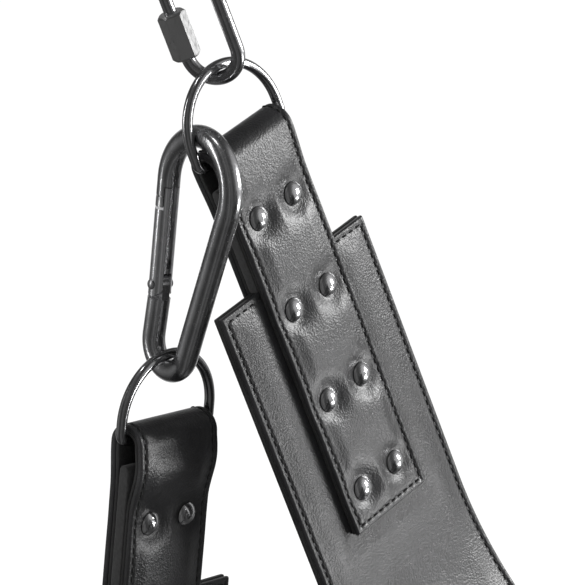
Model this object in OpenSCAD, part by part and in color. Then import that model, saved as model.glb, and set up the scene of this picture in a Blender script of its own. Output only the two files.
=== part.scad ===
// Two-belt leather swing seat. A wide back belt hangs from two quick links; a wide seat belt
// hangs below it from two snap hooks. The origin is midway between the two hanging eyes,
// X runs from the left eye to the right one, Y points the way the back belt leans, Z is up.

/* [Hanging] */
// Distance between the centres of the two hanging eyes
hang_span = 470; // [440:5:520]
// How far the back belt leans back from vertical, degrees
back_tilt = 18.5; // [16:0.5:20]
// How far the back belt's ends lean in towards each other, degrees
back_lean = 10; // [9:0.5:11]
// How far the seat belt's ends bow out, degrees
seat_bow = 5; // [4:0.5:8]
// How far the snap hooks hang forward of vertical, degrees
hook_tilt = 4; // [3:0.5:6]
// How far the seat belt hangs forward of vertical, degrees
seat_tilt = 2; // [0:0.5:4]

/* [Belts] */
// Width of each wide belt
belt_w = 100; // [90:2:110]
// Thickness of a wide belt
belt_t = 6; // [5:0.5:7]
// Length from the swing pivot to where the back belt starts to curve
back_straight = 232; // [225:1:245]
// Length from the seat ring's pivot to where the seat belt starts to curve
seat_straight = 226; // [222:1:240]

/* [Hanger straps] */
// Width of each hanger strap
strap_w = 50; // [48:1:51]
// Thickness of one strap leg, outer leather and lining together
leg_t = 5; // [4.5:0.5:5.5]
// Length of a strap leg below the ring's bar
strap_len = 189; // [188:1:192]
// Distance from the ring's bar down to the wide belt's end
belt_drop = 63; // [62:1:66]

/* [Rivets] */
// Diameter of a rivet cap
cap_d = 11; // [10:0.5:12]
// Distance between the two rivet columns
column_gap = 24; // [22:1:26]
// Distance between rivet rows
row_gap = 46.5; // [44:0.5:47]
// Distance from the ring's bar to the back belt's first rivet row
first_row = 32; // [30:1:34]
// Number of rivet rows
rows = 4; // [2:1:4]

/* [Rings] */
// Wire diameter of a D-ring
ring_wire = 4.8; // [4.5:0.1:5]
// Width of a D-ring between wire centres
ring_w = 57; // [56:0.5:58]
// Height of a D-ring between wire centres
ring_h = 37; // [36:0.5:38]

/* [Quick links] */
// Wire diameter of a quick link
link_wire = 6.4; // [6:0.1:6.6]
// Distance between the centres of a quick link's legs
link_w = 25; // [24:0.5:26]
// Length of a quick link's straight legs
link_leg = 34; // [33:0.5:36]

/* [Snap hooks] */
// Wire diameter of a snap hook
hook_wire = 10.5; // [10:0.1:10.8]
// Centreline radius of the snap hook's wide end
hook_top_r = 23; // [22:0.5:24]
// Centreline radius of the snap hook's narrow end
hook_foot_r = 13; // [12.5:0.5:13.5]
// Distance between the centres of the two ends, along the gate
hook_drop = 74; // [71:1:76]

/* [Hidden] */
$fn = 64;

leather = "#1c1c1d";
backing = "#262626";
felt = "#3a3a3a";
nickel = "#5b5c60";
steel = "#8a8b8f";

gap = 0.05;             // clearance between stacked layers
seam = 0.1;             // how far a bend and a rod stop short of the point where they meet
wire_gap = 0.45;        // clearance where one wire rests in another
big = 400;              // longer than anything a cutter has to reach

// Quick link
link_r = link_w / 2;
link_yaw = 20;          // turn of the link about its own length
link_reach = link_leg + link_r;
sleeve_af = 11.5;       // across the flats
sleeve_turn = 30;       // a flat of the hexagon faces out
sleeve_len = 22;
link_gap = 7.5;         // opening that the sleeve closes
link_gap_at = 4;        // from the leg's lower end to the opening
stub_d = link_wire - 0.6;

// Rings
ring_r = ring_wire / 2;
ring_arc_r = ring_w / 2;
ring_corner_r = 4;
ring_slip = 3;          // the ring sits this far sideways on the link

// Straps and belts
fold_r = 9.5;           // outside radius of the fold round the ring's bar
loop_r = fold_r - leg_t;
fold_drop = loop_r - ring_r - gap;    // from the bar's centre to the fold's centre
taper_len = 22;         // the legs close on the belt over this length
half_t = belt_t / 2;
leg_out = half_t + leg_t;
lining_t = 2;
skin_t = 1.8;
core_inset = 2;
curve_steps = 48;       // facets along a belt's curve
filler_top = 12;
seat_belt_drop = belt_drop + 17;      // the seat belt starts lower below its ring's bar

// Rivets
post_d = 4.4;
cap_h = 2.5;
cap_sink = 0.8;
seat_first_row = first_row + 8;

// Snap hook
hook_r = hook_wire / 2;
hook_yaw = -10;         // turn of the hook about the vertical
hook_rock = 4;          // the hook's foot leans out by this angle
foot_shift = 11.5;      // the narrow end's centre lies this far to the gate's side
nose_z = -4;            // top of the gate's inner wall, from the wide end's centre
latch_z = -13.5;        // lower end of the nose
latch_gap = 1.1;        // play between the nose and the gate below it
hinge_z = -49.5;
pin_d = 3;
tongue_t = 4;
wall_x = 2.8;           // the gate's inner wall starts this far inside the wire's centre
plunger_d = 3;
spring_wire = 0.5;
spring_turns = 6;
bore_len = 20;

// ---- Where the chain of wires meets, in the frame of the left end ----

function turn_x(v, a) = [v.x, v.y * cos(a) - v.z * sin(a), v.y * sin(a) + v.z * cos(a)];
function turn_y(v, a) = [v.x * cos(a) + v.z * sin(a), v.y, v.z * cos(a) - v.x * sin(a)];
function turn_z(v, a) = [v.x * cos(a) - v.y * sin(a), v.x * sin(a) + v.y * cos(a), v.z];

eye = [-hang_span / 2, 0, 0];
// A point of the left upper chain: across the belt, inwards and down along it, from the eye
function upper(v) = turn_x(turn_y(v, -back_lean) + eye, back_tilt);
ring_rise = link_wire / 2 + ring_r + wire_gap;       // ring wire above the link's lower wire
bar_z = -link_reach + ring_rise - ring_h;            // height of the back ring's bar
fold_top_z = bar_z - fold_drop + fold_r;
// The snap hook's upper wire lies in the ring's lower front corner, on the fold
hook_y = -ring_slip - ring_arc_r + ring_r + hook_r + 2 * wire_gap;
hook_z = fold_top_z + hook_r + wire_gap;
hook_apex = upper([0, hook_y, hook_z]);
function hook_turned(v) = turn_z(turn_y(v, hook_rock), hook_yaw);
hook_fall = hook_turned([-foot_shift, 0, -hook_drop]) - [0, 0, hook_top_r + hook_foot_r];
seat_pivot = hook_apex + turn_x(hook_fall, -hook_tilt);
seat_bar_z = hook_r + ring_r + wire_gap - ring_h;    // bar of the seat ring from its pivot

// ---- Frames ----

module other_end() { mirror([1, 0, 0]) children(); }
module upper_end() { rotate([back_tilt, 0, 0]) translate(eye) rotate([0, -back_lean, 0]) children(); }
module back_end() { upper_end() translate([0, -ring_slip, bar_z]) children(); }
module seat_plane() {
    translate([0, seat_pivot.y, seat_pivot.z]) rotate([-seat_tilt, 0, 0]) children();
}
module seat_end() {
    seat_plane() translate([seat_pivot.x, 0, 0]) rotate([0, seat_bow, 0])
        translate([0, 0, seat_bar_z]) children();
}
module hook_place() {
    translate(hook_apex) rotate([-hook_tilt, 0, 0]) translate([0, 0, -hook_top_r])
        rotate([0, 0, hook_yaw]) rotate([0, hook_rock, 0]) children();
}

// ---- Wire ----

module rod(p, q, r) {
    d = q - p;
    translate(p) rotate([0, acos(d.z / norm(d)), atan2(d.y, d.x)]) cylinder(h = norm(d), r = r);
}

// Wire bent in the XZ plane round a centre, from one angle to another
module bend(c, arc_r, wire_r, from, to) {
    translate(c) rotate([90, 0, 0]) rotate_extrude(angle = to - from, start = from)
        translate([arc_r, 0]) circle(r = wire_r);
}

// The same two, each stopping short of its ends, which a weld then covers
module short_rod(p, q, r) {
    step = seam / norm(q - p) * (q - p);
    rod(p + step, q - step, r);
}
module short_bend(c, arc_r, wire_r, from, to) {
    trim = seam / arc_r * 180 / PI;
    bend(c, arc_r, wire_r, from + trim, to - trim);
}
module weld(p, r) { translate(p) sphere(r = r + seam / 5); }

// ---- Quick link ----

module link_turned() { rotate([0, 0, link_yaw]) children(); }

module quick_link() {
    r = link_wire / 2;
    gap_low = -link_leg + link_gap_at;
    gap_high = gap_low + link_gap;
    upper_end() link_turned() {
        bend([0, 0, 0], link_r, r, 0, 180);
        bend([0, 0, -link_leg], link_r, r, 180, 360);
        rod([link_r, 0, -link_leg], [link_r, 0, 0], r);
        rod([-link_r, 0, gap_high + sleeve_len + gap], [-link_r, 0, 0], r);
        rod([-link_r, 0, gap_high], [-link_r, 0, gap_high + sleeve_len + gap], stub_d / 2);
        rod([-link_r, 0, -link_leg], [-link_r, 0, gap_low], stub_d / 2);
    }
}

module link_sleeve() {
    chamfer = 1.2;
    corner_r = sleeve_af / 2 / cos(30);
    upper_end() link_turned() translate([-link_r, 0, -link_leg + gap])
        rotate([0, 0, sleeve_turn]) difference() {
            intersection() {
                cylinder(h = sleeve_len, r = corner_r, $fn = 6);
                rotate_extrude() polygon([
                    [0, 0], [corner_r - chamfer, 0], [corner_r, chamfer],
                    [corner_r, sleeve_len - chamfer], [corner_r - chamfer, sleeve_len], [0, sleeve_len]]);
            }
            translate([0, 0, -1]) cylinder(h = sleeve_len + 2, r = stub_d / 2 + gap);
        }
}

// ---- D-ring: the bar lies along Y through the origin, the bow rises above it ----

module d_ring() {
    arm_y = ring_w / 2;
    arm_top = ring_h - ring_arc_r;
    corner_y = arm_y - ring_corner_r;
    rotate([0, 0, 90]) {
        rod([-corner_y, 0, 0], [corner_y, 0, 0], ring_r);
        bend([0, 0, arm_top], ring_arc_r, ring_r, 0, 180);
        for (side = [-1, 1]) rod([side * arm_y, 0, ring_corner_r], [side * arm_y, 0, arm_top], ring_r);
        bend([corner_y, 0, ring_corner_r], ring_corner_r, ring_r, 270, 360);
        bend([-corner_y, 0, ring_corner_r], ring_corner_r, ring_r, 180, 270);
    }
}

// ---- Snap hook, in its own XZ plane; the wide end's centre is the origin ----

// Angle of the normal at which a line touches circle 1 and circle 2, both on the same side
function touch_angle(c1, r1, c2, r2, side) =
    let (d = c2 - c1) atan2(d.y, d.x) + side * acos((r1 - r2) / norm(d));
function on_circle(c, r, a) = [c.x + r * cos(a), 0, c.y + r * sin(a)];

foot = [-foot_shift, -hook_drop];
heel = [-hook_top_r, hinge_z - hook_r - 1];
spine_a = touch_angle([0, 0], hook_top_r, foot, hook_foot_r, 1);
heel_a = touch_angle(heel, 0, foot, hook_foot_r, -1);

module gate_line() { translate([-hook_top_r, 0, 0]) children(); }

module hook_frame() {
    foot_at = [foot.x, 0, foot.y];
    heel_at = [heel.x, 0, heel.y];
    spine_top = on_circle([0, 0], hook_top_r, spine_a);
    spine_foot = on_circle(foot, hook_foot_r, spine_a);
    heel_foot = on_circle(foot, hook_foot_r, heel_a);
    hook_place() {
        hook_nose();
        short_bend([0, 0, 0], hook_top_r, hook_r, spine_a, 180);
        weld(spine_top, hook_r);
        short_rod(spine_top, spine_foot, hook_r);
        weld(spine_foot, hook_r);
        short_bend(foot_at, hook_foot_r, hook_r, heel_a, spine_a);
        weld(heel_foot, hook_r);
        short_rod(heel_foot, heel_at, hook_r);
        hinge_tongue();
    }
}

// The frame's free end: its inner side is cut away for the gate, and a groove marks the catch
module hook_nose() {
    groove_z = latch_z + 4.5;
    groove_h = 0.8;
    gate_line() difference() {
        union() {
            translate([0, 0, latch_z]) cylinder(h = -seam - latch_z, r = hook_r);
            weld([0, 0, 0], hook_r);
        }
        translate([wall_x, -big / 2, latch_z - 1]) cube([big, big, nose_z - latch_z + 1]);
        translate([0, 0, groove_z]) difference() {
            cylinder(h = groove_h, r = hook_r + 1);
            translate([0, 0, -1]) cylinder(h = groove_h + 2, r = hook_r - 0.6);
        }
    }
}

module hinge_tongue() {
    tongue_r = hook_r - 0.4;
    gate_line() rotate([90, 0, 0]) difference() {
        translate([0, 0, -tongue_t / 2]) linear_extrude(tongue_t) {
            translate([0, hinge_z]) circle(r = tongue_r);
            translate([-tongue_r, heel.y - 1]) square([2 * tongue_r, hinge_z - heel.y + 1]);
        }
        translate([0, hinge_z, -tongue_t]) cylinder(h = 2 * tongue_t, r = pin_d / 2 + gap);
    }
}

module hook_gate() {
    wall_top = nose_z - 0.4;
    slot_w = 2.2;
    slot_low = hinge_z + 12;
    hook_place() gate_line() difference() {
        union() {
            translate([0, 0, hinge_z]) cylinder(h = wall_top - hinge_z, r = hook_r);
            intersection() {
                translate([0, 0, hinge_z - hook_r]) cylinder(h = hook_r, r = hook_r);
                translate([0, 0, hinge_z]) rotate([90, 0, 0])
                    cylinder(h = 2 * hook_r, r = hook_r, center = true);
            }
        }
        // Seat for the nose
        translate([wall_x + 0.4 - big, -big / 2, latch_z - latch_gap]) cube([big, big, big]);
        // Fork for the frame's tongue
        translate([-big / 2, -tongue_t / 2 - 0.1, hinge_z - big])
            cube([big, tongue_t + 0.2, big + hook_r + 0.4]);
        // Bore for the spring and plunger
        translate([0, 0, hinge_z]) cylinder(h = hook_r + bore_len, r = plunger_d / 2 + gap);
        // Pressed groove along the inner side
        translate([hook_r - 1, -slot_w / 2, slot_low]) cube([big, slot_w, big]);
        translate([plunger_d / 2 + 1, -slot_w / 2, slot_low - 4]) cube([big, slot_w, 4]);
        // Hinge bore
        translate([0, 0, hinge_z]) rotate([90, 0, 0])
            cylinder(h = 2 * hook_wire, r = pin_d / 2 + gap, center = true);
    }
}

// A straight pin with a domed head at each end
module gate_pin() {
    head_r = 2.3;
    head_h = 0.9;
    half_len = hook_r + 0.1;
    hook_place() gate_line() translate([0, 0, hinge_z]) rotate([90, 0, 0]) rotate_extrude() polygon(concat(
        [[0, -half_len - head_h]],
        [for (i = [1 : 6]) [head_r * sin(15 * i), -half_len - head_h * cos(15 * i)]],
        [[pin_d / 2, -half_len], [pin_d / 2, half_len]],
        [for (i = [6 : -1 : 1]) [head_r * sin(15 * i), half_len + head_h * cos(15 * i)]],
        [[0, half_len + head_h]]));
}

plunger_z = hinge_z + hook_r - 0.4 + gap;
plunger_len = 6;

module gate_plunger() {
    hook_place() gate_line() translate([0, 0, plunger_z + 0.35])
        cylinder(h = plunger_len, r = plunger_d / 2);
}

// Closed helix, swept as a chain of rings of points
module gate_spring() {
    coil_r = plunger_d / 2 - spring_wire / 2 - 2 * gap;
    coil_z = plunger_z + plunger_len + 0.35 + spring_wire;
    coil_len = hinge_z + hook_r + bore_len - spring_wire - coil_z;
    per_turn = 20;
    sides = 6;
    n = per_turn * spring_turns;
    points = [for (i = [0 : n], k = [0 : sides - 1])
        let (a = 360 * i / per_turn, b = 360 * k / sides, r = coil_r + spring_wire / 2 * cos(b))
        [r * cos(a), r * sin(a), coil_len * i / n + spring_wire / 2 * sin(b)]];
    walls = [for (i = [0 : n - 1], k = [0 : sides - 1])
        let (next = (k + 1) % sides)
        [i * sides + k, (i + 1) * sides + k, (i + 1) * sides + next, i * sides + next]];
    hook_place() gate_line() translate([0, 0, coil_z]) polyhedron(
        points,
        concat([[for (k = [0 : sides - 1]) k]], walls, [[for (k = [sides - 1 : -1 : 0]) n * sides + k]]));
}

// ---- Belts: a U in the XZ plane, centred on X = 0 ----

// pivot is the left pivot [x, z]; the ends start drop below it and lean in by lean;
// low and high bound the layer, measured inwards from the belt's middle
module belt_layer(pivot, lean, drop, straight, width, low, high) {
    arc_r = (-pivot.x - straight * sin(lean)) / cos(lean);
    arc_z = pivot.y - straight * cos(lean) + arc_r * sin(lean);
    end = pivot + drop * [sin(lean), -cos(lean)];
    sweep = 180 - 2 * lean;
    function side(h) = let (tip = end + h * [cos(lean), sin(lean)]) concat(
        [tip],
        [for (i = [0 : curve_steps]) let (a = 180 + lean + sweep * i / curve_steps)
            [(arc_r - h) * cos(a), arc_z + (arc_r - h) * sin(a)]],
        [[-tip.x, tip.y]]);
    inner = side(high);
    rotate([90, 0, 0]) linear_extrude(width, center = true)
        polygon(concat(side(low), [for (i = [len(inner) - 1 : -1 : 0]) inner[i]]));
}

module back_layer(inset, low, high) {
    pivot = turn_y([0, 0, -link_reach], -back_lean) + eye;
    drop = belt_drop + ring_h - ring_rise + inset;
    rotate([back_tilt, 0, 0]) translate([0, -ring_slip, 0])
        belt_layer([pivot.x, pivot.z], back_lean, drop, back_straight, belt_w - 2 * inset, low, high);
}

module seat_layer(inset, low, high) {
    drop = seat_belt_drop - seat_bar_z + inset;
    width = belt_w - 2 * inset;
    seat_plane() belt_layer([seat_pivot.x, 0], -seat_bow, drop, seat_straight, width, low, high);
}

// ---- Hanger strap, from the ring's bar at the origin down along -Z ----

// A strap of thickness outer - inner folded over the bar
module folded_strap(width, out_fold, in_fold, out_leg, in_leg, len) {
    translate([0, 0, -fold_drop]) rotate([90, 0, 0])
        rotate_extrude(angle = 180) translate([in_fold, -width / 2]) square([out_fold - in_fold, width]);
    for (flip = [0, 1]) mirror([flip, 0, 0]) rotate([90, 0, 0]) translate([0, 0, -width / 2])
        linear_extrude(width) polygon([
            [in_fold, -fold_drop], [out_fold, -fold_drop], [out_leg, -fold_drop - taper_len],
            [out_leg, -len], [in_leg, -len], [in_leg, -fold_drop - taper_len]]);
}

module rivet_spots(first, half_len) {
    for (i = [0 : rows - 1], side = [-1, 1])
        translate([-half_len, side * column_gap / 2, -first - i * row_gap]) rotate([0, 90, 0]) children();
}

module post_holes(first) {
    rivet_spots(first, big / 2) cylinder(h = big, r = post_d / 2 + gap);
}

module cap_seats(first) {
    for (flip = [0, 1]) mirror([flip, 0, 0])
        rivet_spots(first, -leg_out + cap_sink) cylinder(h = big, r = cap_d / 2 + 0.1);
}

module strap(first) {
    difference() {
        folded_strap(strap_w, fold_r, loop_r + lining_t + gap, leg_out, half_t + lining_t + gap, strap_len);
        post_holes(first);
        cap_seats(first);
    }
}

module lining(first) {
    difference() {
        folded_strap(strap_w - 1, loop_r + lining_t, loop_r, half_t + lining_t, half_t + gap,
            strap_len - 0.5);
        post_holes(first);
    }
}

module filler(first, bottom) {
    difference() {
        translate([-half_t, -strap_w / 2 + 0.5, -bottom + gap])
            cube([belt_t, strap_w - 1, bottom - filler_top - gap]);
        post_holes(first);
    }
}

module caps(first) {
    cap_r = cap_d / 2;
    dome_r = (cap_r * cap_r + cap_h * cap_h) / 2 / cap_h;
    edge_a = asin(cap_r / dome_r);
    steps = 8;
    for (flip = [0, 1]) mirror([flip, 0, 0])
        rivet_spots(first, -leg_out + cap_sink - 0.02) rotate_extrude() polygon(concat(
            [[0, 0], [cap_r, 0]],
            [for (i = [1 : steps]) let (a = edge_a * (1 - i / steps))
                [dome_r * sin(a), dome_r * cos(a) - dome_r + cap_h]]));
}

module posts(first) {
    half_len = leg_out - cap_sink;
    rivet_spots(first, half_len) cylinder(h = 2 * half_len, r = post_d / 2);
}

// ---- Sub-parts ----

module quick_link_left() { color(steel) quick_link(); }
module quick_link_right() { other_end() quick_link_left(); }
module link_sleeve_left() { color(steel) link_sleeve(); }
module link_sleeve_right() { other_end() link_sleeve_left(); }
module back_ring_left() { color(nickel) back_end() d_ring(); }
module back_ring_right() { other_end() back_ring_left(); }
module seat_ring_left() { color(nickel) seat_end() d_ring(); }
module seat_ring_right() { other_end() seat_ring_left(); }
module hook_frame_left() { color(nickel) hook_frame(); }
module hook_frame_right() { other_end() hook_frame_left(); }
module hook_gate_left() { color(nickel) hook_gate(); }
module hook_gate_right() { other_end() hook_gate_left(); }
module gate_pin_left() { color(steel) gate_pin(); }
module gate_pin_right() { other_end() gate_pin_left(); }
module gate_plunger_left() { color(steel) gate_plunger(); }
module gate_plunger_right() { other_end() gate_plunger_left(); }
module gate_spring_left() { color(steel) gate_spring(); }
module gate_spring_right() { other_end() gate_spring_left(); }

module back_belt_face() {
    color(leather) difference() {
        back_layer(0, half_t - skin_t, half_t);
        both_ends() back_end() post_holes(first_row);
    }
}
module back_belt_core() {
    color(felt) difference() {
        back_layer(core_inset, skin_t + gap - half_t, half_t - skin_t - gap);
        both_ends() back_end() post_holes(first_row);
    }
}
module back_belt_backing() {
    color(backing) difference() {
        back_layer(0, -half_t, skin_t - half_t);
        both_ends() back_end() post_holes(first_row);
    }
}
module seat_belt_face() {
    color(leather) difference() {
        seat_layer(0, half_t - skin_t, half_t);
        both_ends() seat_end() post_holes(seat_first_row);
    }
}
module seat_belt_core() {
    color(felt) difference() {
        seat_layer(core_inset, skin_t + gap - half_t, half_t - skin_t - gap);
        both_ends() seat_end() post_holes(seat_first_row);
    }
}
module seat_belt_backing() {
    color(backing) difference() {
        seat_layer(0, -half_t, skin_t - half_t);
        both_ends() seat_end() post_holes(seat_first_row);
    }
}

module both_ends() {
    children();
    other_end() children();
}

module back_strap_left() { color(leather) back_end() strap(first_row); }
module back_strap_right() { other_end() back_strap_left(); }
module back_lining_left() { color(backing) back_end() lining(first_row); }
module back_lining_right() { other_end() back_lining_left(); }
module back_filler_left() { color(felt) back_end() filler(first_row, belt_drop); }
module back_filler_right() { other_end() back_filler_left(); }
module seat_strap_left() { color(leather) seat_end() strap(seat_first_row); }
module seat_strap_right() { other_end() seat_strap_left(); }
module seat_lining_left() { color(backing) seat_end() lining(seat_first_row); }
module seat_lining_right() { other_end() seat_lining_left(); }
module seat_filler_left() { color(felt) seat_end() filler(seat_first_row, seat_belt_drop); }
module seat_filler_right() { other_end() seat_filler_left(); }
module back_rivet_caps() { color(steel) both_ends() back_end() caps(first_row); }
module back_rivet_posts() { color(steel) both_ends() back_end() posts(first_row); }
module seat_rivet_caps() { color(steel) both_ends() seat_end() caps(seat_first_row); }
module seat_rivet_posts() { color(steel) both_ends() seat_end() posts(seat_first_row); }

quick_link_left();
quick_link_right();
link_sleeve_left();
link_sleeve_right();
back_ring_left();
back_ring_right();
seat_ring_left();
seat_ring_right();
hook_frame_left();
hook_frame_right();
hook_gate_left();
hook_gate_right();
gate_pin_left();
gate_pin_right();
gate_plunger_left();
gate_plunger_right();
gate_spring_left();
gate_spring_right();
back_belt_face();
back_belt_core();
back_belt_backing();
seat_belt_face();
seat_belt_core();
seat_belt_backing();
back_strap_left();
back_strap_right();
back_lining_left();
back_lining_right();
back_filler_left();
back_filler_right();
seat_strap_left();
seat_strap_right();
seat_lining_left();
seat_lining_right();
seat_filler_left();
seat_filler_right();
back_rivet_caps();
back_rivet_posts();
seat_rivet_caps();
seat_rivet_posts();
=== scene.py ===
"""Looks for the two-belt leather swing seat.

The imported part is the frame. Metal nodes keep their shape and get a material here. Every leather and
felt node is replaced by a sheet swept along a path, with rolled edges, stitch grooves, rivet dimples
and a thread in the groove. Lengths are in metres; MM turns the millimetre values below into metres.
"""

import math

import bpy
import numpy as np
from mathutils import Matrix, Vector


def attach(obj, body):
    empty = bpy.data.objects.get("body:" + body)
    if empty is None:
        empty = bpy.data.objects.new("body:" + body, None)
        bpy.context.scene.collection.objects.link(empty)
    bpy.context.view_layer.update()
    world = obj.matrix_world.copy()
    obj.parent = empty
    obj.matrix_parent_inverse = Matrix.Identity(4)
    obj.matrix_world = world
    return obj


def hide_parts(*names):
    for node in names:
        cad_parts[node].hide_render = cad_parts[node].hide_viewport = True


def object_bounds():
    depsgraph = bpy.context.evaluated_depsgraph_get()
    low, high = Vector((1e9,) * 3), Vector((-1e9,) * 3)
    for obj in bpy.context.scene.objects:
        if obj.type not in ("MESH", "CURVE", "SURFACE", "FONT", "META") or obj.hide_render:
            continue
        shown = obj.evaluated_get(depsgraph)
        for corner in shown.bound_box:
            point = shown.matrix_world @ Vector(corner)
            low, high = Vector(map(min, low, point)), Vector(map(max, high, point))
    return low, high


MM = 0.001

# Leather sheets
SKIN_T = 3.0 * MM            # outer leather of a hanger strap
PLY_GAP = 0.05 * MM          # between two plies
PLY_T = 1.8 * MM             # skin of a wide belt, away from its edges
LIP_W = 2.5 * MM             # width of the edge where a wide belt's two skins meet
CORE_INSET = 3.5 * MM        # how far the wide belt's core stops short of its ends
LINING_STEP = 0.6 * MM       # the lining is narrower than the strap by this much
CAP_SINK = 0.8 * MM          # a rivet cap's base lies this far into the leather
TAPER = 22 * MM              # a folded strap's legs close on the belt over this length
ARC_STEP = 0.003             # radians between points on a wide belt's arc
ROLL_R = 0.9 * MM            # rolled edge of a sheet
RIVET_ROWS = 4
CAP_R = 5.5 * MM
DIMPLE_DEPTH = 1.3 * MM     # how far a rivet cap pulls the leather in
DIMPLE_REACH = 5.0 * MM      # how far from the cap that reaches
STRAP_CROWN = 1.1 * MM       # how far a strap's middle stands proud of its edges
BELT_CROWN = 0.7 * MM
SEAT_FOLD_BULGE = 2.6 * MM   # the seat strap's inner side swells below the fold
STRAP_CROWN_EDGE = 12 * MM   # a strap's crown is full this far in from its edges
BELT_CROWN_EDGE = 14 * MM    # the same for a wide belt
CROWN_FREE = (14 * MM, 34 * MM)      # a strap's crown starts and is full this far from the fold
PRESS_SIDE = 9 * MM          # a wide belt's crown comes back over this beside a hanger strap
PRESS_END = 12 * MM          # and over this beyond the strap's end
RIM_W = 6.5 * MM             # a sheet's mesh is finer within this of its sides
ROLL_STEPS = 6               # points round a rolled edge
END_CLOSE = 0.98             # how far a sheet's rolled end closes

# Stitching
STITCH_INSET = 3.0 * MM
STITCH_PITCH = 4.6 * MM
STITCH_LEN = 3.3 * MM
THREAD_R = 0.42 * MM
GROOVE_DEPTH = 0.55 * MM
GROOVE_W = 0.8 * MM
HOLE_DEPTH = 0.45            # extra depth at a needle hole, as a share of the groove's

# View: the camera looks at a point placed from the back hanger's ring bar, across and up its own frame
AZIMUTH = math.radians(42.0)
ELEVATION = math.radians(14.0)
LENS = 240.0
DISTANCE = 1.74
AIM_RIGHT = 22.9 * MM
AIM_UP = -66.8 * MM

# Studio
# The room as polished surfaces see it: (place, grey), place 0 to 1
ROOM_SIDES = ((0, 0.30), (0.05, 0.16), (0.15, 0.07), (0.30, 0.12), (0.36, 0.22), (0.44, 0.09),
              (0.56, 0.16), (0.64, 0.07), (0.82, 0.14), (0.94, 0.6), (1, 0.5))    # left to right
ROOM_BEHIND = ((0, 0.0), (0.84, 0.0), (0.93, 0.6), (1, 0.8))                      # front to back
WHITE_LEVEL = 1.1            # world's strength to the camera and to matt surfaces
FLOOR_DROP = 0.12            # floor below the part
FLOOR_REACH = 30.0
# Each lamp's place from the aim along the camera's right, up and back; its width, height and power
LAMPS = {
    "key": ((0.80, 0.24, -0.04), 0.22, 0.26, 6.0),
    "low_fill": ((0.80, -0.26, -0.04), 0.20, 0.16, 2.0),
    "strip_left": ((-1.20, 0.30, 0.18), 0.10, 1.0, 2.0),
    "top": ((-0.49, 1.40, 0.42), 0.3, 0.12, 1.2),
}


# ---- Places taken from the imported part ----

class Axes:
    """A frame of the part: an origin and three unit directions, as rows."""

    def __init__(self, origin, x, y, z):
        self.origin = np.array(origin, float)
        self.rows = np.array([x, y, z], float)

    def world(self, points):
        return self.origin + points @ self.rows

    def box(self, *nodes):
        """Lowest and highest corner of the nodes in these axes, on the origin's own side of X = 0."""
        points = np.concatenate([node_points(n) for n in nodes])
        if self.origin[0]:
            points = points[points[:, 0] * self.origin[0] > 0]
        local = (points - self.origin) @ self.rows.T
        return local.min(axis=0), local.max(axis=0)

    def mirrored(self):
        flip = np.array([-1.0, 1.0, 1.0])
        return Axes(self.origin * flip, *(self.rows * flip))


def node_points(name):
    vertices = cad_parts[name].data.vertices
    points = np.empty(len(vertices) * 3)
    vertices.foreach_get("co", points)
    return points.reshape(-1, 3)


def ring_axes(name):
    """Axes of a D-ring: X along its normal to the sitter, Y along its bar, Z up.

    The bar's centre is the origin.
    """
    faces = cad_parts[name].data.polygons
    centres = np.array([f.center for f in faces])
    areas = np.array([f.area for f in faces])
    spread = np.cov(centres.T, aweights=areas)
    normal, up, across = np.linalg.eigh(spread)[1].T
    up = up * np.sign(up[2])
    across = across * np.sign(across[1])
    inward = np.cross(across, up)
    local = node_points(name) @ np.array([inward, across, up]).T
    low, high = local.min(axis=0), local.max(axis=0)
    middle = (low + high) / 2
    wire_r = (high[0] - low[0]) / 2
    origin = np.array([middle[0], middle[1], low[2] + wire_r]) @ np.array([inward, across, up])
    return Axes(origin, inward, across, up)


# ---- Sheets ----

def smooth(x, start, stop):
    """0 before start, 1 after stop, with a smooth turn between."""
    t = np.clip((x - start) / (stop - start), 0, 1)
    return t * t * (3 - 2 * t)


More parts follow.
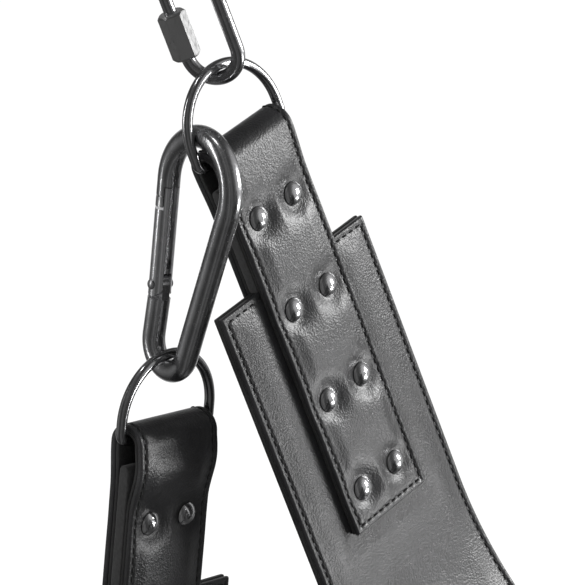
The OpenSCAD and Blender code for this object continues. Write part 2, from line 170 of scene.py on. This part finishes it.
class Sheet:
    """A sheet swept along a path in the XZ plane of some axes.

    A place on it is (s, y, h): along the path, across it, and out from the path along its normal.
    """

    def __init__(self, axes, path, width, low, high, relief=None, lip=None, ends=(ROLL_R, ROLL_R), side=1):
        self.axes = axes
        self.side = side
        self.path = np.array(path)
        steps = np.linalg.norm(np.diff(self.path, axis=0), axis=1)
        self.s = np.concatenate(([0], np.cumsum(steps)))
        self.length = self.s[-1]
        tangent = np.gradient(self.path, self.s, axis=0)
        tangent /= np.linalg.norm(tangent, axis=1)[:, None]
        self.normal = side * np.stack([tangent[:, 1], -tangent[:, 0]], axis=1)
        self.width = width
        self.low = low
        self.high = high
        self.relief = relief
        self.lip = lip
        self.ends = ends

    def place(self, s, y, h):
        columns = [*self.path.T, *self.normal.T]
        px, pz, nx, nz = [np.interp(s, self.s, c) for c in columns]
        return self.axes.world(np.stack([px + h * nx, y, pz + h * nz], axis=-1))

    def height(self, s, y):
        """Height of the face above the path."""
        if self.relief is None:
            return self.high + 0 * s
        return self.high + self.relief(self, s, y)

    def inset(self, s, y):
        """Distance in from the nearest edge."""
        return np.minimum(self.width / 2 - np.abs(y), np.minimum(s, self.length - s))

    def section(self, fine, coarse):
        """Outline across the sheet: y and h, then each point's share of the relief and of the cavity."""
        r = min(ROLL_R, (self.high - self.low) / 2)
        half = self.width / 2
        turn = np.linspace(0, math.pi / 2, ROLL_STEPS)
        rim = np.arange(r, RIM_W, fine)
        middle = np.linspace(-half + rim[-1], half - rim[-1], int((self.width - 2 * rim[-1]) / coarse) + 2)
        face_y = np.concatenate([rim - half, middle[1:-1], half - rim[::-1]])
        face_h = np.full(len(face_y), self.high)
        side_y = half - r + r * np.sin(turn[1:])
        side_h = self.high - r + r * np.cos(turn[1:])
        foot_y = half - r + r * np.cos(turn)
        foot_h = self.low + r - r * np.sin(turn)
        under_y = self.underside(half - r)
        y = np.concatenate([face_y, side_y, foot_y, under_y, -foot_y[::-1], -side_y[::-1]])
        under_h = np.full(len(under_y), self.low)
        h = np.concatenate([face_h, side_h, foot_h, under_h, foot_h[::-1], side_h[::-1]])
        cavity = np.zeros(len(y))
        under = len(face_y) + len(side_y) + len(foot_y)
        cavity[under + 1:under + len(under_y) - 1] = 1
        share = np.zeros(len(y))
        share[:len(face_y)] = 1
        share[len(face_y):len(face_y) + len(side_y)] = np.cos(turn[1:])
        share[-len(side_y):] = np.cos(turn[1:])[::-1]
        return y, h, share, cavity

    def underside(self, edge):
        """Places of the underside's points across the sheet; a lip keeps two of them near the edges."""
        if self.lip is None:
            return np.linspace(edge, -edge, 7)[1:-1]
        y = np.array([edge - self.lip[0], edge - self.lip[0] - MM])
        return np.concatenate([y, [0], -y[::-1]])

    def mesh(self, name, spacing=0.9 * MM, fine=0.4 * MM, coarse=0.9 * MM):
        turn = 1 - np.cos(np.linspace(0, math.pi / 2, ROLL_STEPS))
        start, stop = [turn * r for r in self.ends]
        count = int((self.length - start[-1] - stop[-1]) / spacing)
        inner = np.linspace(start[-1], self.length - stop[-1], count)
        s = np.concatenate([start[:-1], inner, self.length - stop[-2::-1]])
        y, h, share, cavity = self.section(fine, coarse)
        s2, y2 = np.meshgrid(s, y, indexing="ij")
        h2 = h + share * (self.height(s2, y2) - self.high)
        if self.lip is not None:
            end = np.minimum(s2, self.length - s2)
            h2 = h2 + cavity * (self.lip[1] - self.low) * smooth(end, self.lip[0], self.lip[0] + MM)
        middle = (self.low + self.high) / 2
        half = (self.high - self.low) / 2
        for edge, r in ((s2, self.ends[0]), (self.length - s2, self.ends[1])):
            fall = r - np.sqrt(np.clip(r * r - np.clip(r - edge, 0, r) ** 2, 0, None))
            h2 = middle + (h2 - middle) * (1 - fall / half * END_CLOSE)
        points = self.place(s2, y2, h2)
        return tube_mesh(name, points, s2, y2, np.linalg.det(self.axes.rows) * self.side > 0)


def tube_mesh(name, points, u, v, flip):
    """A closed tube through rows of points, with flat ends; u and v become its UV map."""
    rows, around = points.shape[:2]
    index = np.arange(rows * around).reshape(rows, around)
    right = np.roll(index, -1, axis=1)
    quads = np.stack([index[:-1], index[1:], right[1:], right[:-1]], axis=-1).reshape(-1, 4)
    faces = [*quads.tolist(), index[0].tolist(), index[-1][::-1].tolist()]
    if flip:
        faces = [f[::-1] for f in faces]
    return new_object(name, points.reshape(-1, 3), faces, np.stack([u, v], axis=-1).reshape(-1, 2))


def new_object(name, points, faces, uv=None):
    mesh = bpy.data.meshes.new(name)
    mesh.from_pydata(points.tolist(), [], faces)
    mesh.polygons.foreach_set("use_smooth", np.ones(len(mesh.polygons), bool))
    if uv is not None:
        corners = np.empty(len(mesh.loops), int)
        mesh.loops.foreach_get("vertex_index", corners)
        mesh.uv_layers.new(name="along_across").data.foreach_set("uv", uv[corners].ravel())
    mesh.update()
    obj = bpy.data.objects.new(name, mesh)
    bpy.context.scene.collection.objects.link(obj)
    return obj


# ---- Relief of the leather's face ----

def stitch_groove(sheet, s, y):
    """The sewn line near the edges, deeper at each needle hole."""
    side = sheet.width / 2 - np.abs(y)
    end = np.minimum(s, sheet.length - s)
    depth = np.exp(-((sheet.inset(s, y) - STITCH_INSET) / GROOVE_W) ** 2)
    along = np.where(side < end, s - STITCH_INSET, y + sheet.width / 2 - STITCH_INSET)
    run = np.where(side < end, sheet.length, sheet.width) - 2 * STITCH_INSET
    holes = np.cos(2 * math.pi * along / run * np.round(run / STITCH_PITCH))
    return -depth * GROOVE_DEPTH * (1 + HOLE_DEPTH * holes)


def ripple(s, y):
    """Slow unevenness of hand-pulled leather, between -1 and 1."""
    waves = ((31, 17, 0.4), (23, -41, 2.1), (57, 29, 4.0), (-13, 37, 5.2))
    return sum(np.sin((s / a + y / b) / MM * 2 * math.pi / 2 + c) for a, b, c in waves) / len(waves)


def strap_relief(rivets):
    def relief(sheet, s, y):
        crown = STRAP_CROWN * smooth(sheet.inset(s, y), STITCH_INSET + GROOVE_W, STRAP_CROWN_EDGE)
        crown = crown * smooth(np.abs(s - sheet.length / 2), *CROWN_FREE)
        height = crown * (1 + 0.25 * ripple(s, y))
        pull = np.zeros_like(s)
        for at_s, at_y in rivets:
            away = np.hypot(s - at_s, y - at_y)
            pull = np.maximum(pull, np.exp(-(np.clip(away - CAP_R, 0, None) / DIMPLE_REACH) ** 1.5))
        return height * (1 - pull) - DIMPLE_DEPTH * pull + stitch_groove(sheet, s, y)
    return relief


def belt_relief(hanger_w, hanger_len):
    """Crowned between the stitch lines, and pressed flat under the two hanger straps."""
    def relief(sheet, s, y):
        crown = BELT_CROWN * smooth(sheet.inset(s, y), STITCH_INSET + GROOVE_W, BELT_CROWN_EDGE)
        end = np.minimum(s, sheet.length - s)
        beside = smooth(np.abs(y), hanger_w / 2, hanger_w / 2 + PRESS_SIDE)
        beyond = smooth(end, hanger_len, hanger_len + PRESS_END)
        free = np.maximum(beside, beyond)
        return crown * free * (1 + 0.15 * ripple(s, y)) + stitch_groove(sheet, s, y)
    return relief


# ---- Stitching ----

def stitch_centres(sheet, skip):
    """Middle and direction of every stitch along the sheet's four edges, as s, y, ds, dy."""
    stitches = []
    half = sheet.width / 2 - STITCH_INSET
    far = sheet.length - STITCH_INSET
    lines = [((STITCH_INSET, side * half), (far, side * half)) for side in (-1, 1)]
    lines += [((at, -half), (at, half)) for at in (STITCH_INSET, far)]
    for (s0, y0), (s1, y1) in lines:
        run = math.hypot(s1 - s0, y1 - y0)
        count = round(run / STITCH_PITCH)
        for i in range(count):
            t = (i + 0.5) / count
            s, y = s0 + t * (s1 - s0), y0 + t * (y1 - y0)
            if skip is None or not skip(s, y):
                stitches.append((s, y, (s1 - s0) / run, (y1 - y0) / run))
    return np.array(stitches)


def thread(sheet, skip):
    """Points and faces of one sheet's stitches: each a short thread whose ends dive into the leather."""
    s0, y0, ds, dy = [c[:, None, None] for c in stitch_centres(sheet, skip).T]
    t = np.linspace(-0.5, 0.5, 6)[None, :, None]
    turn = np.linspace(0, 2 * math.pi, 8, endpoint=False)[None, None, :]
    radius = THREAD_R * np.sqrt(1.06 - (2 * t) ** 6)
    aside = radius * np.cos(turn)
    lift = THREAD_R * (0.75 - 2.2 * (2 * t) ** 4) + radius * np.sin(turn)
    s = s0 + t * STITCH_LEN * ds - aside * dy
    y = y0 + t * STITCH_LEN * dy + aside * ds
    h = sheet.height(s0, y0) + lift
    points = sheet.place(s, y, np.broadcast_to(h, s.shape))
    stitches, rings, sides = s.shape
    index = np.arange(s.size).reshape(s.shape)
    right = np.roll(index, -1, axis=2)
    quads = np.stack([index[:, :-1], index[:, 1:], right[:, 1:], right[:, :-1]], axis=-1).reshape(-1, 4)
    return points.reshape(-1, 3), quads


def stitching(name, sheets):
    points, faces, base = [], [], 0
    for sheet, skip in sheets:
        some, quads = thread(sheet, skip)
        points.append(some)
        faces.append(quads + base)
        base += len(some)
    return new_object(name, np.concatenate(points), np.concatenate(faces).tolist())


# ---- Paths, in the XZ plane ----

def spaced(start, stop, step=0.5 * MM):
    return np.linspace(start, stop, max(2, int(abs(stop - start) / step)))


def hanger_path(length, fold_r, leg_x, fold_z, taper, bulge):
    """Outer side of a strap folded over a bar: up the inner leg, round the fold and down the outer leg."""
    z = spaced(-length, fold_z)
    close = smooth(z, fold_z - taper, fold_z)
    swell = np.sin(math.pi * np.clip((z - fold_z + 1.45 * taper) / (1.7 * taper), 0, 1)) ** 2
    outer_x = leg_x + (fold_r - leg_x) * close
    inner_x = outer_x + bulge * swell
    join = inner_x[-1]
    a = np.linspace(0, math.pi, 60)[1:-1]
    side = np.where(a < math.pi / 2, join, fold_r)
    fold = np.stack([side * np.cos(a), fold_z + fold_r * np.sin(a)], axis=1)
    inner = np.stack([inner_x, z], axis=1)
    outer = np.stack([-outer_x, z], axis=1)[::-1]
    return np.concatenate([inner, fold, outer])


def belt_path(start, lean, bottom):
    """Middle of a wide belt, from its right end round to its left one: straight ends, then one arc.

    start is the left end, lean the angle by which the ends lean in, bottom the height the arc reaches.
    """
    cos_a, sin_a = math.cos(lean), math.sin(lean)
    rise = (1 - sin_a) / cos_a
    run = (bottom - start[1] - start[0] * rise) / (sin_a * rise - cos_a)
    turn = (start[0] + run * sin_a, start[1] - run * cos_a)
    radius = -turn[0] / cos_a
    centre_z = turn[1] + radius * sin_a
    t = spaced(0, run)
    left = np.stack([start[0] + t * sin_a, start[1] - t * cos_a], axis=1)
    a = spaced(math.pi + lean, 2 * math.pi - lean, ARC_STEP)[1:-1]
    arc = np.stack([radius * np.cos(a), centre_z + radius * np.sin(a)], axis=1)
    return np.concatenate([left, arc, left[::-1] * (-1, 1)])[::-1]


# ---- Leather pieces ----

class Hanger:
    """One end's hanger strap: its axes and the sizes its leather needs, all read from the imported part."""

    def __init__(self, level):
        self.level = level
        self.axes = ring_axes(f"{level}_ring_left")
        strap_low, strap_high = self.axes.box(f"{level}_strap_left")
        filler_low, filler_high = self.axes.box(f"{level}_filler_left")
        cap_low, cap_high = self.axes.box(f"{level}_rivet_caps")
        post_high = self.axes.box(f"{level}_rivet_posts")[1]
        self.width = 2 * strap_high[1]
        self.length = -strap_low[2]
        self.fold_r = strap_high[0]
        self.fold_z = strap_high[2] - self.fold_r
        self.leg_x = post_high[0] + CAP_SINK
        self.belt_half = filler_high[0]
        self.filler_z = (filler_low[2], filler_high[2])
        self.rivet_y = cap_high[1] - CAP_R
        self.rivet_z = np.linspace(cap_high[2] - CAP_R, cap_low[2] + CAP_R, RIVET_ROWS)

    def path(self, bulge):
        return hanger_path(self.length, self.fold_r, self.leg_x, self.fold_z, TAPER, bulge)

    def rivets(self, sheet):
        """Places of the caps on both legs, as (s, y)."""
        top = int(np.argmax(sheet.path[:, 1]))
        inner = np.interp(self.rivet_z, sheet.path[:top, 1], sheet.s[:top])
        return [(s, side * self.rivet_y) for s in (*inner, *(sheet.length - inner)) for side in (-1, 1)]


def finish_piece(obj, body, look, slot, *nodes):
    obj.data.materials.append(look)
    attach(obj, body)
    if nodes:
        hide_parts(*nodes)


def hanger_pieces(hanger, side, looks, bulge):
    """Outer leather, lining and filler of one hanger strap; returns the outer leather for its stitching."""
    axes = hanger.axes if side == "left" else hanger.axes.mirrored()
    body = f"{hanger.level}_belt"
    name = f"{hanger.level}_strap_{side}"
    path = hanger.path(bulge)
    skin = Sheet(axes, path, hanger.width, -SKIN_T, 0)
    skin.relief = strap_relief(hanger.rivets(skin))
    finish_piece(skin.mesh(f"leather_{name}"), body, looks["leather"], "black_leather", name)

    lining_low = hanger.belt_half + PLY_GAP - hanger.leg_x
    lining = Sheet(axes, path, hanger.width - LINING_STEP, lining_low, -SKIN_T - PLY_GAP)
    node = f"{hanger.level}_lining_{side}"
    finish_piece(lining.mesh(f"leather_{node}", spacing=1.5 * MM, coarse=4 * MM), body,
                 looks["backing"], "backing_leather", node)

    rise = [(0, z) for z in spaced(*hanger.filler_z)]
    half = hanger.belt_half
    filler = Sheet(axes, rise, hanger.width - LINING_STEP, -half, half, ends=(ROLL_R, half * 0.95))
    node = f"{hanger.level}_filler_{side}"
    finish_piece(filler.mesh(f"stuffing_{node}", coarse=3 * MM), body, looks["felt"], "felt", node)
    return skin


def wide_belt_pieces(hanger, looks):
    """Face, core and backing of one wide belt; returns its stitched sheets."""
    level = hanger.level
    inward, across, up = hanger.axes.rows
    lean = math.atan2(-up[0], math.hypot(up[1], up[2]))
    rise = np.cross((1, 0, 0), across)
    axes = Axes(hanger.axes.origin * (0, 1, 1), (1, 0, 0), across, rise)
    low, high = axes.box(f"{level}_belt_face", f"{level}_belt_backing")
    end = hanger.axes.world(np.array([0, 0, hanger.filler_z[0]]))
    start = (end[0], (end - axes.origin) @ rise)
    half = hanger.belt_half
    path = belt_path(start, lean, low[2] + half)
    width = high[1] - low[1]
    covered = hanger.length + hanger.filler_z[0]

    def under_hanger(sheet):
        return lambda s, y: min(s, sheet.length - s) < covered and abs(y) < hanger.width / 2

    plies = []
    for layer, slot, sign in (("face", "black_leather", 1), ("backing", "backing_leather", -1)):
        ply = Sheet(axes, path, width, PLY_GAP, half, lip=(LIP_W, half - PLY_T),
                    relief=belt_relief(hanger.width, covered), side=sign)
        node = f"{level}_belt_{layer}"
        finish_piece(ply.mesh(f"leather_{node}", spacing=1.3 * MM, coarse=2 * MM), f"{level}_belt",
                     looks["leather" if sign > 0 else "backing"], slot, node)
        plies.append((ply, under_hanger(ply)))
    core_half = half - PLY_T - PLY_GAP
    trim = int(CORE_INSET / (0.5 * MM))
    core = Sheet(axes, path[trim:-trim], width - 2 * (LIP_W + MM), -core_half, core_half)
    finish_piece(core.mesh(f"stuffing_{level}_belt_core", spacing=4 * MM, coarse=8 * MM),
                 f"{level}_belt", looks["felt"], "felt", f"{level}_belt_core")
    return plies


# ---- Materials ----

class Look:
    """A material and short calls for the nodes it is made of. Texture scales are per metre."""

    def __init__(self, name):
        self.material = bpy.data.materials.new(name)
        self.material.use_nodes = True
        self.tree = self.material.node_tree
        self.shader = self.tree.nodes["Principled BSDF"]
        self.place = self.node("ShaderNodeTexCoord").outputs["Object"]

    def node(self, kind, **settings):
        made = self.tree.nodes.new(kind)
        for key, value in settings.items():
            setattr(made, key, value)
        return made

    def link(self, source, target):
        self.tree.links.new(source, target)

    def set(self, **values):
        for key, value in values.items():
            self.shader.inputs[key.replace("_", " ")].default_value = value

    def noise(self, scale, detail=4.0, stretch=(1, 1, 1)):
        mapping = self.node("ShaderNodeMapping")
        mapping.inputs["Scale"].default_value = stretch
        self.link(self.place, mapping.inputs["Vector"])
        noise = self.node("ShaderNodeTexNoise")
        noise.inputs["Scale"].default_value = scale
        noise.inputs["Detail"].default_value = detail
        self.link(mapping.outputs["Vector"], noise.inputs["Vector"])
        return noise.outputs["Fac"]

    def cells(self, scale):
        cells = self.node("ShaderNodeTexVoronoi")
        cells.inputs["Scale"].default_value = scale
        self.link(self.place, cells.inputs["Vector"])
        return cells.outputs["Distance"]

    def remap(self, value, low, high, to_low, to_high):
        made = self.node("ShaderNodeMapRange")
        for key, number in zip(("From Min", "From Max", "To Min", "To Max"), (low, high, to_low, to_high)):
            made.inputs[key].default_value = number
        self.link(value, made.inputs["Value"])
        return made.outputs["Result"]

    def blend(self, factor, first, second):
        """A colour between two greys or colours, each an RGB triple or another node's output."""
        mix = self.node("ShaderNodeMix", data_type="RGBA")
        self.link(factor, mix.inputs["Factor"])
        for socket, colour in ((mix.inputs[6], first), (mix.inputs[7], second)):
            if isinstance(colour, tuple):
                socket.default_value = (*colour, 1)
            else:
                self.link(colour, socket)
        return mix.outputs[2]

    def bump(self, height, depth, strength):
        """Adds a bump of the given depth on top of any bump already made."""
        bump = self.node("ShaderNodeBump")
        bump.inputs["Strength"].default_value = strength
        bump.inputs["Distance"].default_value = depth
        self.link(height, bump.inputs["Height"])
        before = self.shader.inputs["Normal"]
        if before.is_linked:
            self.link(before.links[0].from_socket, bump.inputs["Normal"])
        self.link(bump.outputs["Normal"], before)

    def edge_highlight_mask(self, start, stop):
        """Mask of the painted edge highlight: 0 on flat parts and 1 on sharp convex edges."""
        shape = self.node("ShaderNodeNewGeometry").outputs["Pointiness"]
        return self.remap(shape, start, stop, 0, 1)


def leather(name, dark, pale, rough, gloss):
    look = Look(name)
    mottle = look.remap(look.noise(38, 5), 0.35, 0.65, 0, 1)
    colour = look.blend(mottle, dark, pale)
    # Painted highlight: sharp convex edges get a lighter grey mixed into the leather's colour
    edges = look.edge_highlight_mask(0.52, 0.60)
    edge_highlight_grey = tuple(min(1, 3.0 * c) for c in pale)
    look.link(look.blend(edges, colour, edge_highlight_grey), look.shader.inputs["Base Color"])
    wear = look.remap(look.noise(70, 6), 0.3, 0.7, rough - 0.05, rough + 0.06)
    look.link(wear, look.shader.inputs["Roughness"])
    look.set(Coat_Weight=gloss, Coat_Roughness=0.3, Specular_IOR_Level=0.5)
    look.bump(look.noise(150, 3), 0.25 * MM, 0.5)
    look.bump(look.cells(900), 0.14 * MM, 0.8)
    look.bump(look.noise(1500, 2), 0.14 * MM, 1.0)
    return look.material


def felt():
    look = Look("felt_filler")
    fuzz = look.noise(900, 6)
    look.link(look.blend(look.remap(fuzz, 0.3, 0.7, 0, 1), (0.006, 0.006, 0.006), (0.018, 0.018, 0.018)),
              look.shader.inputs["Base Color"])
    look.set(Roughness=0.75, Sheen_Weight=0.15, Sheen_Roughness=0.5)
    look.bump(fuzz, 0.15 * MM, 0.6)
    look.bump(look.noise(2600, 3), 0.08 * MM, 0.5)
    return look.material


def thread_look():
    look = Look("waxed_thread")
    twist = look.node("ShaderNodeTexWave", bands_direction="DIAGONAL")
    twist.inputs["Scale"].default_value = 700
    look.link(look.place, twist.inputs["Vector"])
    look.link(look.blend(twist.outputs["Fac"], (0.006, 0.006, 0.006), (0.03, 0.03, 0.03)),
              look.shader.inputs["Base Color"])
    look.set(Roughness=0.7, Specular_IOR_Level=0.2)
    look.bump(twist.outputs["Fac"], 0.08 * MM, 0.6)
    return look.material


def plated(name, base, rough, stretch=(1, 1, 1), streak=0.0, pits=0.0):
    """Plated metal: slow clouding of the plating, fine scratches, and a painted highlight on sharp edges.
    """
    look = Look(name)
    cloud = look.remap(look.noise(90, 5), 0.35, 0.65, 0, 1)
    dull = tuple(0.78 * c for c in base)
    colour = look.blend(cloud, dull, base)
    # Painted highlight: sharp convex edges get a lighter grey mixed into the metal's colour
    highlight_grey = tuple(min(0.95, 1.5 * c) for c in base)
    look.link(look.blend(look.edge_highlight_mask(0.53, 0.62), colour, highlight_grey), look.shader.inputs["Base Color"])
    smear = look.noise(240, 6, stretch)
    look.link(look.remap(smear, 0.3, 0.7, rough, rough + 0.1 + streak), look.shader.inputs["Roughness"])
    look.set(Metallic=1.0)
    look.bump(smear, 0.02 * MM, 0.25 + streak)
    look.bump(look.noise(60, 2), (0.08 + pits) * MM, 0.3)
    return look.material


def metal_looks():
    """Material of every kind of metal node, by the end of the node's name before _left or _right."""
    nickel = plated("dark_nickel", (0.52, 0.52, 0.53), 0.10)
    cast = plated("cast_nickel", (0.56, 0.56, 0.57), 0.13, stretch=(6, 6, 0.7), streak=0.05, pits=0.06)
    link = plated("zinc_wire", (0.52, 0.52, 0.53), 0.16)
    sleeve = plated("turned_steel", (0.36, 0.36, 0.36), 0.26, stretch=(5, 5, 0.4), streak=0.15)
    cap = plated("polished_cap", (0.74, 0.74, 0.75), 0.09)
    pin = plated("drawn_steel", (0.55, 0.55, 0.56), 0.22)
    return {"quick_link": link, "link_sleeve": sleeve, "back_ring": nickel, "seat_ring": nickel,
            "hook_frame": cast, "hook_gate": cast, "gate_pin": pin, "gate_plunger": pin,
            "gate_spring": pin, "back_rivet_caps": cap, "seat_rivet_caps": cap,
            "back_rivet_posts": pin, "seat_rivet_posts": pin}


def dress_metal():
    for kind, look in metal_looks().items():
        for name in (kind, f"{kind}_left", f"{kind}_right"):
            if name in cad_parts:
                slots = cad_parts[name].data.materials
                slots.clear()
                slots.append(look)


# ---- Studio ----

def camera_axes():
    """Right, up and back of the camera."""
    sa, ca = math.sin(AZIMUTH), math.cos(AZIMUTH)
    se, ce = math.sin(ELEVATION), math.cos(ELEVATION)
    return Vector((ca, sa, 0)), Vector((-sa * se, ca * se, ce)), Vector((sa * ce, -ca * ce, se))


def aimed(obj, at, toward):
    """Places a lamp or camera and points its -Z at a target."""
    obj.location = at
    obj.rotation_euler = (Vector(toward) - Vector(at)).to_track_quat("-Z", "Y").to_euler()
    bpy.context.scene.collection.objects.link(obj)
    return obj


def area_light(name, at, toward, width, height, power):
    lamp = bpy.data.lights.new(name, "AREA")
    lamp.shape = "RECTANGLE"
    lamp.size, lamp.size_y = width, height
    lamp.energy = power
    aimed(bpy.data.objects.new(name, lamp), at, toward)


def pale_world(right, up, back):
    """White to the camera and to matt surfaces; polished ones see a room lit from the right and behind."""
    world = bpy.data.worlds.new("studio")
    bpy.context.scene.world = world
    world.use_nodes = True
    tree = world.node_tree
    tree.nodes.clear()
    toward = tree.nodes.new("ShaderNodeTexCoord").outputs["Generated"]

    def facing(direction, stops):
        """A grey that depends on how far a ray points along a direction, from -1 to 1."""
        along = tree.nodes.new("ShaderNodeVectorMath")
        along.operation = "DOT_PRODUCT"
        along.inputs[1].default_value = direction.normalized()
        tree.links.new(toward, along.inputs[0])
        ramp = tree.nodes.new("ShaderNodeFloatCurve")
        curve = ramp.mapping.curves[0]
        curve.points[0].location, curve.points[1].location = stops[0], stops[-1]
        for stop in stops[1:-1]:
            curve.points.new(*stop)
        ramp.mapping.update()
        scaled = tree.nodes.new("ShaderNodeMapRange")
        scaled.inputs["From Min"].default_value = -1
        tree.links.new(along.outputs["Value"], scaled.inputs["Value"])
        tree.links.new(scaled.outputs["Result"], ramp.inputs["Value"])
        return ramp.outputs["Value"]

    brighter = tree.nodes.new("ShaderNodeMath")
    brighter.operation = "MAXIMUM"
    tree.links.new(facing(right + 0.2 * up, ROOM_SIDES), brighter.inputs[0])
    tree.links.new(facing(-back, ROOM_BEHIND), brighter.inputs[1])
    white = tree.nodes.new("ShaderNodeBackground")
    white.inputs["Color"].default_value = (1, 1, 1, 1)
    white.inputs["Strength"].default_value = WHITE_LEVEL
    room = tree.nodes.new("ShaderNodeBackground")
    tree.links.new(brighter.outputs["Value"], room.inputs["Strength"])
    rays = tree.nodes.new("ShaderNodeLightPath")
    mix = tree.nodes.new("ShaderNodeMixShader")
    output = tree.nodes.new("ShaderNodeOutputWorld")
    tree.links.new(rays.outputs["Is Glossy Ray"], mix.inputs[0])
    tree.links.new(white.outputs[0], mix.inputs[1])
    tree.links.new(room.outputs[0], mix.inputs[2])
    tree.links.new(mix.outputs[0], output.inputs["Surface"])


def pale_floor(height):
    mesh = bpy.data.meshes.new("studio_floor")
    signs = ((-1, -1), (1, -1), (1, 1), (-1, 1))
    corners = [(x * FLOOR_REACH, y * FLOOR_REACH, height) for x, y in signs]
    mesh.from_pydata(corners, [], [(0, 1, 2, 3)])
    floor = bpy.data.objects.new("studio_floor", mesh)
    bpy.context.scene.collection.objects.link(floor)
    look = Look("pale_floor")
    speck = look.remap(look.noise(4, 3), 0.3, 0.7, 0, 1)
    look.link(look.blend(speck, (0.95, 0.95, 0.95), (0.97, 0.97, 0.97)), look.shader.inputs["Base Color"])
    look.set(Roughness=0.9, Specular_IOR_Level=0.1)
    # Polished surfaces see the room through the floor
    rays = look.node("ShaderNodeLightPath")
    unseen = look.node("ShaderNodeBsdfTransparent")
    mix = look.node("ShaderNodeMixShader")
    look.link(rays.outputs["Is Glossy Ray"], mix.inputs[0])
    look.link(look.shader.outputs[0], mix.inputs[1])
    look.link(unseen.outputs[0], mix.inputs[2])
    look.link(mix.outputs[0], look.tree.nodes["Material Output"].inputs["Surface"])
    mesh.materials.append(look.material)


def studio(bar, low):
    """Camera, lights, world and floor; bar is the back ring's bar, low the part's lowest height."""
    right, up, back = camera_axes()
    aim = bar + AIM_RIGHT * right + AIM_UP * up
    lens = bpy.data.cameras.new("camera")
    lens.lens = LENS
    lens.clip_start = 0.05
    camera = aimed(bpy.data.objects.new("camera", lens), aim + DISTANCE * back, aim)
    bpy.context.scene.camera = camera
    bpy.context.scene.view_settings.view_transform = "Standard"

    for name, (place, width, height, power) in LAMPS.items():
        at = aim + place[0] * right + place[1] * up + place[2] * back
        area_light(name, at, aim, width, height, power)
    pale_world(right, up, back)
    pale_floor(low - FLOOR_DROP)


# ---- The part ----

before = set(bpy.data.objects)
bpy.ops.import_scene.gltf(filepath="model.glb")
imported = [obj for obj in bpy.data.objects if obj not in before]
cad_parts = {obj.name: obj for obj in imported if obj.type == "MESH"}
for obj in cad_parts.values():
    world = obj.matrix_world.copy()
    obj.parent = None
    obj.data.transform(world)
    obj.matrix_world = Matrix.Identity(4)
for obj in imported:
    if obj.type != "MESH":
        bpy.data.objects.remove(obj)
cad_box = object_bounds()

looks = {
    "leather": leather("black_leather", (0.010, 0.010, 0.0105), (0.018, 0.018, 0.019), 0.34, 0.12),
    "backing": leather("backing_leather", (0.010, 0.010, 0.010), (0.019, 0.019, 0.019), 0.50, 0.05),
    "felt": felt(),
}
thread_material = thread_look()
dress_metal()

hangers = {"back": (Hanger("back"), 0.0), "seat": (Hanger("seat"), SEAT_FOLD_BULGE)}
for level, (hanger, bulge) in hangers.items():
    sewn = [(hanger_pieces(hanger, side, looks, bulge), None) for side in ("left", "right")]
    sewn += wide_belt_pieces(hanger, looks)
    finish_piece(stitching(f"{level}_stitching", sewn), f"{level}_belt", thread_material, "black_leather")

studio(Vector(hangers["back"][0].axes.origin), cad_box[0][2])
